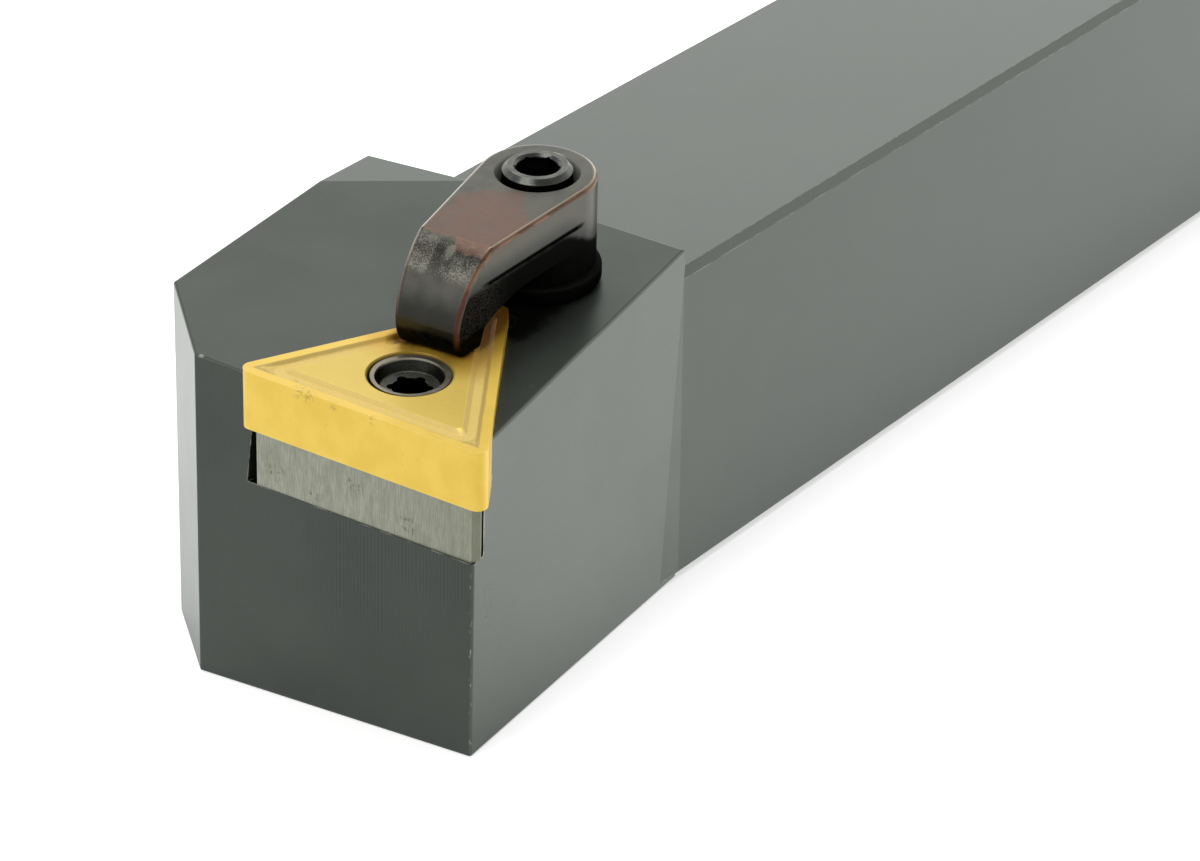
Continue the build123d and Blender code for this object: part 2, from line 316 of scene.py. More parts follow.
# ---- holder ----
OXIDE_DARK = srgb(77, 83, 76)
OXIDE_PALE = srgb(83, 89, 82)
OXIDE_GRAIN = srgb(98, 104, 97)
OXIDE_STREAK = srgb(95, 101, 94)
# painted shade: the head's front face is darker
FRONT_FACE_SHADE = srgb(61, 65, 64)
# painted light: the shank's upper chamfer is lighter
CHAMFER_LIGHT = srgb(113, 119, 112)
CUTTER_LINE = srgb(54, 59, 57)
# painted shade: the shank's side face is darker than the head's
SHANK_SIDE_SHADE = srgb(52, 58, 54)
THUMB_MARK = srgb(48, 52, 48)
SCRATCH = srgb(150, 150, 141)
# painted shadow and reflection of the clamp on the head's top face
CLAMP_SHADOW_DARK = srgb(30, 30, 26)
UNLIT_STEEL = srgb(12, 12, 11)
BARE_STEEL = srgb(188, 182, 168)

CHAMFER_AXIS = (Y_AXIS + Z_AXIS).normalized()  # the shank's upper chamfer on the cutting side
MILL_PITCH = 0.30
MILL_WOBBLE = 5.0  # radians
THUMB_CENTRE = (89.9, 11.6)  # along the tool and up
THUMB_REACH = (0.6, 2.4)
SCRATCH_RING = (6.5, 9.5)  # from the pin
NICK = (FRONT_X - 0.42, -7.8)  # along the tool and sideways
NICK_HEIGHT = 25.2
GAP_BOX = ((3.0, 6.1), (-12.0, -7.5), (-11.0, -4.9))  # forward, across and up from the pin
GAP_SOFT = 0.2


def milled_lines(f, y, z, front):
    """Fine upright cutter lines on the head's front face, patchy, and strongest at its upper right."""
    wobble = f.noise(3 * MM, stretch=(1, 1, 8), detail=2)
    phase = f.plus(f.times(y, math.tau / MILL_PITCH), f.times(wobble, MILL_WOBBLE))
    lines = f.ramp(f.math("SINE", phase), 0.5, 0.5)
    patchy = f.step(f.noise(7 * MM, detail=2, seed=5.5), 0.2, 0.6)
    rightwards = f.ramp(f.step(y, -3.0, 9.0), 0.6, 0.4)
    return f.times(front, lines, f.step(z, 3.0, 11.0), rightwards, patchy)


def thumb_marks(f, x, z):
    """A faint scribble of rubbed steel on the right face, close to the front edge."""
    along = f.times(f.minus(x, THUMB_CENTRE[0]), 1 / THUMB_REACH[0])
    up = f.times(f.minus(z, THUMB_CENTRE[1]), 1 / THUMB_REACH[1])
    area = f.step(f.away(along, up), 1.1, 0.8)
    curl = f.noise(0.8 * MM, detail=1, seed=4.2)
    return f.times(area, f.band(curl, 0.49, 0.51, 0.012), f.facing(Y_AXIS))


def seat_scratches(f, seat):
    """Very fine scratches on the head's top face, beside the insert's back edges."""
    near = f.band(f.away(seat[0], seat[1]), *SCRATCH_RING, 1.5)
    fine = f.noise(0.10 * MM, stretch=(7, 1, 7), detail=2, seed=8.5)
    return f.times(near, f.step(fine, 0.64, 0.74), f.facing(NORMAL))


def nose_reach(f, clamp, half_width, tip):
    """Distance outside a blunt outline round the clamp's arm, made ragged."""
    beside = f.math("MAXIMUM", f.minus(f.math("ABSOLUTE", clamp[1]), half_width), 0.0)
    ahead = f.math("MAXIMUM", f.minus(clamp[0], tip), 0.0)
    return f.plus(f.away(beside, ahead), f.ramp(f.noise(1.1 * MM, detail=3, seed=3.0), 1.2, -0.6))


def clamp_shadow_on_head(f, clamp):
    """The clamp's shadow and reflection, painted dark on the head's top face round its arm."""
    reach = nose_reach(f, clamp, half_width=3.2, tip=8.0)
    return f.times(f.step(reach, 1.6, 0.2), f.step(clamp[0], 0.5, 2.5), f.facing(NORMAL))


def seat_gap(f, seat, front):
    """Unlit steel in the narrow gap beside the shim."""
    inside = [f.band(place, low, high, GAP_SOFT) for place, (low, high) in zip(seat, GAP_BOX)]
    return f.times(*inside, f.outside(front))


def bare_steel(f, x, y, z):
    """Rubbed edges, chips down the front right edge, and a nick at the top of the front left edge."""
    worn = f.times(f.edges(0.16 * MM), f.step(f.noise(1.1 * MM, detail=4, seed=6.0), 0.46, 0.60))
    corner = f.spot(x, y, (FRONT_X, HEAD_SIDE), size=0.15, soft=0.3)
    chips = f.times(corner, f.step(f.noise(0.22 * MM, stretch=(1, 1, 3), seed=2.4), 0.62, 0.68))
    nick = f.times(f.spot(x, y, NICK, size=0.05, soft=0.28), f.step(z, NICK_HEIGHT, NICK_HEIGHT + 0.25))
    return f.either(f.times(worn, 0.45), f.times(chips, 0.6), nick)


def oxided_steel():
    """Satin black oxide over milled and ground faces, with bare steel on worn edges; painted shade on the
    front face and the shank's side, painted light on the chamfer, and the clamp's shadow and reflection
    painted on the head's top.
    """
    f = Finish("oxided_steel", metallic=0.75)
    x, y, z = f.local((0, 0, 0), PART_AXES)
    seat = f.local(PIN_POINT, SEAT)
    clamp = f.local(SCREW_POINT, CLAMP)
    front = f.facing(X_AXIS)
    cloud = f.noise(9 * MM, detail=4)
    grain = f.noise(0.09 * MM, detail=2)
    lengthwise = f.noise(0.22 * MM, stretch=(60, 1, 1), detail=2, seed=1.7)
    lines = milled_lines(f, y, z, front)
    # painted shade on the shank's side face
    shank_side_shade = f.times(f.facing(Y_AXIS), f.step(x, STEP_X + 0.1, STEP_X - 0.1))
    clamp_shadow = clamp_shadow_on_head(f, clamp)
    gap = seat_gap(f, seat, front)

    colour = f.mix(f.spread(cloud), OXIDE_DARK, OXIDE_PALE)
    colour = f.cover(colour, f.step(grain, 0.55, 0.8), OXIDE_GRAIN, strength=0.5)
    colour = f.cover(colour, f.step(lengthwise, 0.5, 0.75), OXIDE_STREAK, strength=0.12)
    # painted shade on the front face
    colour = f.cover(colour, front, FRONT_FACE_SHADE, strength=0.45)
    # painted light on the shank's chamfer
    colour = f.cover(colour, f.facing(CHAMFER_AXIS, least=0.93), CHAMFER_LIGHT)
    colour = f.cover(colour, lines, CUTTER_LINE, strength=0.35)
    colour = f.cover(colour, shank_side_shade, SHANK_SIDE_SHADE, strength=0.5)
    colour = f.cover(colour, thumb_marks(f, x, z), THUMB_MARK, strength=0.55)
    colour = f.cover(colour, seat_scratches(f, seat), SCRATCH, strength=0.2)
    # painted shadow and reflection of the clamp
    colour = f.cover(colour, clamp_shadow, CLAMP_SHADOW_DARK, strength=0.85)
    colour = f.cover(colour, gap, UNLIT_STEEL, strength=0.9)
    colour = f.cover(colour, bare_steel(f, x, y, z), BARE_STEEL)

    roughness = f.plus(f.ramp(cloud, 0.10, 0.27), f.times(grain, 0.04))
    roughness = f.blend(clamp_shadow, roughness, 0.2)
    relief = f.bump(grain, depth=0.0022 * MM)
    relief = f.bump(lines, depth=0.0014 * MM, before=relief)
    relief = f.bump(lengthwise, depth=0.0010 * MM, before=relief)
    return f.finish(colour, roughness, relief, mute=f.either(gap, f.times(clamp_shadow, 0.6)))


# ---- insert ----
GOLD_DEEP = srgb(233, 196, 76)
GOLD_PALE = srgb(240, 205, 90)
GOLD_GRAIN = srgb(218, 178, 66)
GOLD_FLAT = srgb(230, 197, 92)
GOLD_MIDDLE = srgb(212, 186, 94)
GOLD_BRUSHED = srgb(210, 172, 62)
# painted highlight along the insert's edges
GOLD_EDGE_HIGHLIGHT = srgb(244, 212, 108)
GROOVE_DARK = srgb(208, 182, 106)
GROOVE_PALE = srgb(220, 196, 124)
# painted shade on the groove's outer wall
GROOVE_WALL_SHADE = srgb(160, 134, 66)
SMUDGE = srgb(112, 100, 72)
# painted reflection of the dark clamp: deeper gold round its nose
CLAMP_REFLECTION_GOLD = srgb(198, 146, 24)
OIL_RUST = srgb(168, 100, 22)
# dark oily layer under the clamp's nose, also its painted shadow
OIL_FILM_AND_SHADOW = srgb(72, 42, 9)
HOLE_SHADE = srgb(74, 60, 34)

SMUDGES = (  # forward and across from the pin, size, softness
    ((6.2, -5.2), 0.15, 0.6),
    ((6.3, -4.3), 0.15, 0.5),
    ((6.35, -2.1), 0.10, 0.3),
    ((5.1, -6.3), 0.05, 0.3),
    ((6.35, 1.2), 0.05, 0.25),
)


def edge_distance(f, forward, across):
    """Distance in from the nearest of the insert's three edges."""
    back = f.times(forward, -0.5)
    aside = f.times(across, math.sqrt(3) / 2)
    return f.minus(INSERT_INRADIUS, f.either(forward, f.plus(back, aside), f.minus(back, aside)))


def insert_marks(f, forward, across, on_top):
    """Small soft grey smudges near the front edge, and a few stray ones."""
    marks = [f.spot(forward, across, *smudge) for smudge in SMUDGES]
    fleck = f.noise(0.22 * MM, detail=4, seed=9.3)
    rubbed = f.times(f.either(*marks), f.step(fleck, 0.46, 0.62), on_top)
    stray = f.step(f.noise(0.30 * MM, detail=1, seed=5.1), 0.78, 0.82)
    return f.either(f.times(rubbed, 0.4), f.times(stray, 0.35))


def nose_marks_and_shade(f, on_top):
    """Masks round the clamp's nose: a wide deeper gold that is the dark clamp's painted reflection, rust to
    its right, and a dark oily layer inside that is also the nose's painted shadow, heaviest on its left.
    """
    clamp = f.local(SCREW_POINT, CLAMP)
    reach = nose_reach(f, clamp, half_width=2.3, tip=14.3)
    lopsided = f.plus(reach, f.ramp(clamp[1], 0.32, 0.25))
    clamp_reflection = f.times(f.step(reach, 4.5, 0.5), on_top)
    rusty = f.times(f.step(reach, 1.1, 0.1), f.step(clamp[1], 0.6, 1.6), on_top)
    # oily layer and the nose's painted shadow, heavier on its left
    film_and_shadow = f.times(f.step(lopsided, 0.9, 0.0), on_top)
    return clamp_reflection, rusty, film_and_shadow


def coated_carbide():
    """Golden nitride coating: bright rim, beige groove with painted shade on its outer wall, faintly brushed
    middle, painted highlights on the edges, and the clamp's reflection and shadow painted round its nose.
    """
    f = Finish("coated_carbide", metallic=0.35)
    forward, across, up = f.local(PIN_POINT, SEAT)
    inward = edge_distance(f, forward, across)
    wavy = f.plus(inward, f.ramp(f.noise(1.5 * MM, detail=3, seed=6.1), 0.16, -0.08))
    flat = f.either(f.facing(NORMAL, least=0.5), f.facing(-NORMAL, least=0.5))
    on_top = f.step(up, -1.0, -0.4)
    # painted shade on the groove's outer wall
    outer_wall_shade = f.times(flat, f.band(wavy, GROOVE_OUTER + 0.02, GROOVE_OUTER + 0.22, 0.10))
    groove = f.times(flat, f.band(wavy, GROOVE_OUTER + 0.1, GROOVE_INNER - 0.05, 0.15))
    middle = f.times(flat, f.step(inward, GROOVE_INNER - 0.05, GROOVE_INNER + 0.1))
    hole = f.step(f.away(forward, across), HOLE_RADIUS + 0.24, HOLE_RADIUS - 0.01)
    cloud = f.noise(2.5 * MM, detail=4)
    grain = f.noise(0.08 * MM, detail=2)
    brushed = f.noise(0.09 * MM, stretch=(1, 12, 1), detail=2, seed=1.1)
    clamp_reflection, rusty, film_and_shadow = nose_marks_and_shade(f, on_top)

    colour = f.mix(f.spread(cloud), GOLD_DEEP, GOLD_PALE)
    colour = f.cover(colour, f.step(grain, 0.5, 0.75), GOLD_GRAIN, strength=0.25)
    colour = f.cover(colour, flat, GOLD_FLAT, strength=0.6)
    colour = f.cover(colour, middle, GOLD_MIDDLE, strength=0.7)
    colour = f.cover(colour, groove, f.mix(f.spread(grain), GROOVE_DARK, GROOVE_PALE), strength=0.8)
    colour = f.cover(colour, outer_wall_shade, GROOVE_WALL_SHADE, strength=0.55)
    colour = f.cover(colour, f.times(middle, f.step(brushed, 0.5, 0.7)), GOLD_BRUSHED, strength=0.25)
    colour = f.cover(colour, insert_marks(f, forward, across, on_top), SMUDGE)
    # painted highlight along the edges
    colour = f.cover(colour, f.edges(0.12 * MM), GOLD_EDGE_HIGHLIGHT, strength=0.4)
    # painted reflection of the dark clamp
    colour = f.cover(colour, clamp_reflection, CLAMP_REFLECTION_GOLD, strength=0.65)
    colour = f.cover(colour, rusty, OIL_RUST, strength=0.7)
    # oily layer with the nose's painted shadow
    colour = f.cover(colour, film_and_shadow, OIL_FILM_AND_SHADOW, strength=0.9)
    colour = f.cover(colour, hole, HOLE_SHADE, strength=0.7)

    roughness = f.blend(groove, f.ramp(cloud, 0.1, 0.36), 0.58)
    roughness = f.blend(film_and_shadow, roughness, 0.3)
    relief = f.bump(grain, depth=0.003 * MM)
    relief = f.bump(f.times(middle, brushed), depth=0.0015 * MM, before=relief)
    relief = f.bump(f.times(groove, grain), depth=0.006 * MM, before=relief)
    return f.finish(colour, roughness, relief, mute=f.times(f.either(film_and_shadow, hole), 0.7))


# ---- shim seat ----
SHIM_DARK = srgb(138, 141, 126)
SHIM_PALE = srgb(160, 163, 148)
SHIM_CLOUD = srgb(124, 127, 112)
# painted shade: darker towards the right
SHIM_RIGHT_SHADE = srgb(124, 127, 108)
# painted shade on the sides other than the front, top and bottom
SHIM_SIDE_SHADE = srgb(96, 97, 78)
SHIM_FLECK = srgb(70, 72, 58)
# painted highlight along the edges
SHIM_EDGE_HIGHLIGHT = srgb(186, 187, 176)

STAINS = (  # across and up from the pin, size, softness
    ((-7.7, -7.9), 0.3, 0.9),
    ((-0.7, -6.6), 0.3, 0.8),
    ((4.0, -8.2), 0.4, 0.9),
    ((-4.4, -8.7), 0.1, 0.7),
)


def shim_stains(f, across, up):
    """Small dark flecks on the ground front face."""
    areas = [f.spot(across, up, *stain) for stain in STAINS]
    fleck = f.noise(0.28 * MM, stretch=(1, 1, 1.6), detail=3, seed=2.9)
    scattered = f.step(f.noise(0.26 * MM, detail=2, seed=7.4), 0.72, 0.78)
    return f.either(f.times(f.either(*areas), f.step(fleck, 0.53, 0.64)), f.times(scattered, 0.6))


def ground_steel():
    """Bare ground steel with upright grain and a few dark flecks; painted shade towards the right and on the
    other sides, painted highlights on the edges.
    """
    f = Finish("ground_steel", metallic=0.7)
    forward, across, up = f.local(PIN_POINT, SEAT)
    inside = f.combine(forward, across, up)
    streaks = f.noise(0.075, stretch=(1, 1, 12), detail=3, place=inside)
    wide = f.noise(0.7, stretch=(1, 1, 3), detail=3, place=inside, seed=3.3)
    other_sides = f.outside(f.either(f.facing(SEAT[0]), f.facing(NORMAL), f.facing(-NORMAL)))

    colour = f.mix(f.step(streaks, 0.30, 0.70), SHIM_DARK, SHIM_PALE)
    colour = f.cover(colour, f.step(wide, 0.42, 0.66), SHIM_CLOUD, strength=0.3)
    # painted shade towards the right
    colour = f.cover(colour, f.step(across, 1.0, 8.5), SHIM_RIGHT_SHADE, strength=0.25)
    # painted shade on the other sides
    colour = f.cover(colour, other_sides, SHIM_SIDE_SHADE, strength=0.6)
    colour = f.cover(colour, shim_stains(f, across, up), SHIM_FLECK, strength=0.6)
    # painted highlight along the edges
    colour = f.cover(colour, f.edges(0.08 * MM), SHIM_EDGE_HIGHLIGHT, strength=0.35)
    return f.finish(colour, f.ramp(wide, 0.15, 0.36), f.bump(streaks, depth=0.0025 * MM))


# ---- turned parts: lathe rings and threads ----
def turned_rings(f, forward, side, up, size, around_scale, up_scale):
    """Rings left by the lathe: noise that changes fastest outwards from the axis."""
    around = f.math("ARCTAN2", side, forward)
    place = f.combine(f.away(forward, side), f.times(around, around_scale), f.times(up, up_scale))
    return f.noise(size, detail=3, place=place)


def thread_relief(f, forward, side, up, top, sign):
    """Screw thread below a height, as a relief that climbs round the axis."""
    around = f.times(f.math("ARCTAN2", side, forward), sign / math.tau)
    turns = f.plus(f.times(up, 1 / THREAD_PITCH), around)
    flank = f.math("PINGPONG", turns, 0.5)
    return f.times(flank, 2.0, f.step(up, top, top - 0.3))


def turned_relief(f, rings, thread):
    """The relief of a turned part with a thread."""
    relief = f.bump(rings, depth=0.004 * MM)
    return f.bump(thread, depth=THREAD_DEPTH * MM, before=relief)


# ---- lock pin ----
PIN_DARK = srgb(98, 99, 92)
PIN_PALE = srgb(120, 121, 112)
PIN_TURNED = srgb(156, 154, 142)
RIM_BROWN = srgb(150, 138, 118)
RIM_PALE = srgb(184, 178, 160)
# painted highlight on the rim's edges
RIM_HIGHLIGHT = srgb(190, 184, 166)
LEDGE_SPECK = srgb(168, 168, 156)
# painted highlight round the socket
SOCKET_LIP_HIGHLIGHT = srgb(176, 176, 160)


def pin_rim(f, radius, up):
    """The pin's flat end, round its recess."""
    high = f.step(up, PIN_RIM - 0.20, PIN_RIM - 0.05)
    return f.times(high, f.step(radius, PIN_RECESS_RADIUS - 0.15, PIN_RECESS_RADIUS + 0.05))


def pin_ledge(f, radius, up):
    """The recess's floor, round the socket."""
    low = f.step(up, PIN_LEDGE + 0.10, PIN_LEDGE + 0.02)
    return f.times(low, f.step(radius, PIN_SOCKET_RADIUS - 0.1, PIN_SOCKET_RADIUS + 0.3))


def pin_recess_shade(f, radius, up, speck):
    """Painted shade: the recess's wall, not quite evenly black, and everything below its floor."""
    height = f.band(up, PIN_LEDGE + 0.08, PIN_RIM - 0.17, 0.06)
    within = f.step(radius, PIN_RECESS_RADIUS + 0.20, PIN_RECESS_RADIUS + 0.05)
    wall = f.times(height, within, f.ramp(speck, -0.3, 1.0))
    return f.either(wall, f.step(up, PIN_LEDGE - 0.03, PIN_LEDGE - 0.12))


def pin_lip_highlight(f, radius, up):
    """Painted highlight on the edge round the socket."""
    near = f.band(radius, PIN_SOCKET_RADIUS - 0.5, PIN_SOCKET_RADIUS + 0.15, 0.1)
    return f.times(f.edges(0.07 * MM), near, f.step(up, PIN_LEDGE - 0.15, PIN_LEDGE - 0.05))


def pin_steel():
    """Oiled dark steel: brownish grey rim, wall and socket black with painted shade, grey ledge between them,
    and painted highlights on the rim's edges and round the socket.
    """
    f = Finish("pin_steel", metallic=0.85)
    forward, across, up = f.local(PIN_POINT, SEAT)
    radius = f.away(forward, across)
    rings = turned_rings(f, forward, across, up, size=0.09, around_scale=0.06, up_scale=0.5)
    cloud = f.noise(1.2 * MM, detail=4)
    speck = f.noise(0.12 * MM, detail=3, seed=3.6)
    rim = pin_rim(f, radius, up)
    bright_ledge = f.times(pin_ledge(f, radius, up), f.step(speck, 0.5, 0.65))
    black = pin_recess_shade(f, radius, up, speck)

    colour = f.mix(f.spread(cloud), PIN_DARK, PIN_PALE)
    colour = f.cover(colour, f.step(rings, 0.5, 0.7), PIN_TURNED, strength=0.35)
    colour = f.cover(colour, rim, f.mix(cloud, RIM_BROWN, RIM_PALE), strength=0.7)
    colour = f.cover(colour, bright_ledge, LEDGE_SPECK, strength=0.7)
    # painted shade in the recess and socket
    colour = f.cover(colour, black, SHADE_BLACK)
    # painted highlight on the rim's edges
    colour = f.cover(colour, f.times(f.edges(0.06 * MM), rim), RIM_HIGHLIGHT, strength=0.35)
    colour = f.cover(colour, pin_lip_highlight(f, radius, up), SOCKET_LIP_HIGHLIGHT, strength=0.8)

    thread = thread_relief(f, forward, across, up, top=-2 * INSERT_THICKNESS, sign=1.0)
    return f.finish(colour, f.ramp(cloud, 0.2, 0.22), turned_relief(f, rings, thread), mute=black)


# ---- top clamp ----
CLAMP_DARK = srgb(92, 93, 84)
CLAMP_PALE = srgb(102, 102, 93)
PATCH_DARK = srgb(113, 88, 76)
PATCH_PALE = srgb(122, 96, 84)
BROW_DARK = srgb(58, 58, 53)
BROW_PALE = srgb(68, 67, 61)
BROW_FOOT = srgb(44, 45, 42)
BROW_TAN = srgb(52, 44, 24)
RUBBED_STEEL = srgb(150, 147, 135)
ARM_SIDE = srgb(68, 68, 59)
# painted shade: dim sides above the dark line
ARM_SHADE_DIM = srgb(22, 22, 18)
UNDER_FLECK = srgb(34, 32, 24)
NOSE_OIL = srgb(10, 10, 6)
EDGE_BROWN = srgb(98, 74, 60)
EDGE_TAN = srgb(134, 104, 84)
EDGE_RUST = srgb(84, 48, 38)
# painted highlight on the right edge's upper side
EDGE_HIGHLIGHT = srgb(196, 178, 156)
LEFT_EDGE_PALE = srgb(176, 166, 150)
LEFT_EDGE_BROWN = srgb(112, 88, 70)
# plain grey steel in the countersink, lightened as a painted highlight
SINK_HIGHLIGHT = srgb(150, 151, 142)

PATCH_BACK = 3.3  # reddish patch on the top, forward and sideways from the screw
PATCH_SLANT = 0.52  # how far its back border leans
PATCH_LEFT = -2.4
PATCH_RIGHT = 1.1
PATCH_FLARE_FROM = 4.6  # forward, from where its right border runs outwards
PATCH_FLARE = 1.1
RUBBED_LEFT = (-2.8, -1.2)  # sideways on the brow
RUBBED_RIGHT = (0.9, 2.6)
BEAD = (0.15, 8.0)  # bright bead on the brow, sideways and up
# the clamp's boss and arm carry painted shade below a dark line
BOSS_TO_ARM = (-1.5, 3.4)  # forward, where the dark line climbs from the boss to the arm
BOSS_SHADE_HEIGHT = 4.15
OIL_HEIGHT = 3.2


def red_patch(f, forward, side, up):
    """Reddish brown area on the clamp's top, with stepped, feathered borders."""
    fine = f.ramp(f.noise(0.35 * MM, stretch=(3, 1, 1), detail=3, seed=7.7), 1.3, -0.65)
    wide = f.ramp(f.noise(1.4 * MM, detail=3, seed=1.3), 1.6, -0.8)
    ragged = f.plus(fine, wide)
    slanted = f.plus(f.plus(forward, ragged), f.times(side, PATCH_SLANT))
    back = f.step(slanted, PATCH_BACK, PATCH_BACK + 0.9)
    flare = f.math("MAXIMUM", f.times(f.minus(forward, PATCH_FLARE_FROM), PATCH_FLARE), 0.0)
    right = f.plus(f.minus(f.minus(side, flare), PATCH_RIGHT), ragged)
    front_at = f.blend(f.step(side, 0.0, 0.35), KNEE + 0.15, KNEE + 1.05)
    front = f.minus(f.plus(forward, f.times(fine, 0.5)), front_at)
    left = f.step(f.plus(side, fine), PATCH_LEFT - 1.2, PATCH_LEFT)
    thin = f.step(f.noise(1.1 * MM, stretch=(2, 1, 1), detail=4, seed=9.1), 0.30, 0.55)
    inside = f.times(back, left, f.step(right, 0.35, -0.35), f.step(front, 0.14, -0.14))
    return f.times(inside, f.ramp(thin, 0.35, 0.65), f.step(up, CLAMP_TOP - 1.6, CLAMP_TOP - 1.3))


def brow_scratches(f, forward, side, up):
    """Softly rubbed steel on the brow, thickest at its left edge and beside a notch in the middle."""
    below_knee = f.times(f.step(forward, KNEE, KNEE + 0.5), f.band(up, 7.1, 8.3, 0.7))
    speckle = f.noise(0.10 * MM, detail=3, seed=4.4)
    blotch = f.noise(0.7 * MM, detail=3, seed=2.2)
    left = f.band(side, *RUBBED_LEFT, 0.6)
    right = f.times(f.band(side, *RUBBED_RIGHT, 0.8), f.step(up, 8.4, 7.6))
    bead = f.spot(side, up, BEAD, size=0.15, soft=0.45)
    amount = f.either(f.times(left, 0.62), f.times(right, 0.55), bead, 0.2)
    amount = f.plus(amount, f.ramp(blotch, 1.2, -0.6))
    return f.times(below_knee, f.step(f.plus(f.times(speckle, 1.2), f.times(amount, 0.4)), 0.66, 1.02))


def worn_lines(f, forward, side, up):
    """Masks for the arm's worn right and left edges, and for a painted highlight on the upper side of them
    behind the knee.
    """
    level = f.tilt(NORMAL)
    sideways = f.math("ABSOLUTE", f.tilt(CLAMP[1]))
    behind_knee = f.step(forward, KNEE + 0.3, KNEE - 0.1)
    top_edge = f.times(f.step(up, CLAMP_TOP - 0.5, CLAMP_TOP - 0.35), f.band(level, 0.25, 0.93, 0.08))
    top_edge = f.times(top_edge, f.step(sideways, 0.12, 0.3), f.step(f.away(forward, side), 3.7, 4.0))
    nose_edge = f.times(f.step(forward, KNEE - 0.1, KNEE + 0.3), f.band(sideways, 0.25, 0.86, 0.08))
    line = f.either(f.times(top_edge, behind_knee), nose_edge)
    right = f.times(line, f.step(side, 0.0, 0.6))
    left = f.times(line, f.step(side, 0.0, -0.6))
    upper = f.times(f.step(level, 0.72, 0.86), behind_knee)
    return right, left, upper


def worn_edges(f, colour, forward, side, up):
    """A colour with the right edge worn to brown and rust under a painted highlight line, and a paler left
    edge.
    """
    right, left, upper = worn_lines(f, forward, side, up)
    bright = f.step(f.noise(0.8 * MM, stretch=(3, 1, 1), detail=3, seed=5.6), 0.44, 0.60)
    brown = f.mix(bright, EDGE_BROWN, EDGE_TAN)
    brown = f.cover(brown, f.step(up, 7.6, 5.0), EDGE_RUST)
    # painted highlight on the edge's upper side
    brown = f.cover(brown, upper, EDGE_HIGHLIGHT)
    pale = f.mix(f.step(up, 8.0, 6.5), LEFT_EDGE_PALE, LEFT_EDGE_BROWN)
    colour = f.cover(colour, f.times(right, f.step(up, 1.8, 2.8)), brown, strength=0.9)
    return f.cover(colour, f.times(left, f.step(up, 2.6, 3.6)), pale, strength=0.6)


def side_shade(f, forward, up):
    """Masks for painted shade low on the clamp: dim above a ragged line, and black below it and in the seam.
    """
    ragged = f.ramp(f.noise(0.9 * MM, detail=3, seed=1.9), 0.8, -0.4)
    on_arm = f.step(f.plus(forward, f.times(ragged, 2.0)), *BOSS_TO_ARM)
    line = f.blend(on_arm, BOSS_SHADE_HEIGHT, SEAM_HEIGHT - 0.05)
    below = f.minus(line, f.plus(up, f.times(ragged, 0.5)))
    along_seam = f.band(forward, SEAM_ENDS[0] - 0.2, SEAM_ENDS[1] + 0.2, 0.8)
    seam = f.times(along_seam, f.band(up, SEAM_HEIGHT - 0.05, SEAM_HEIGHT + 0.1, 0.2))
    return f.step(below, -1.9, 0.0), f.either(f.step(below, -0.25, 0.45), f.times(seam, 0.8))


def screw_hole(f, forward, side, up, level):
    """Masks for the countersink round the clamp screw, lit by a painted highlight, and for painted shade that
    makes the bore below it black.
    """
    radius = f.away(forward, side)
    bore_top = CLAMP_TOP - SINK_DEPTH
    sink = f.times(f.step(radius, SINK_RADIUS + 0.38, SINK_RADIUS + 0.28), f.band(level, 0.3, 0.9, 0.05))
    within = f.step(radius, SINK_RADIUS + 0.28, SINK_RADIUS + 0.18)
    return sink, f.times(within, f.step(up, bore_top, bore_top - 0.2))


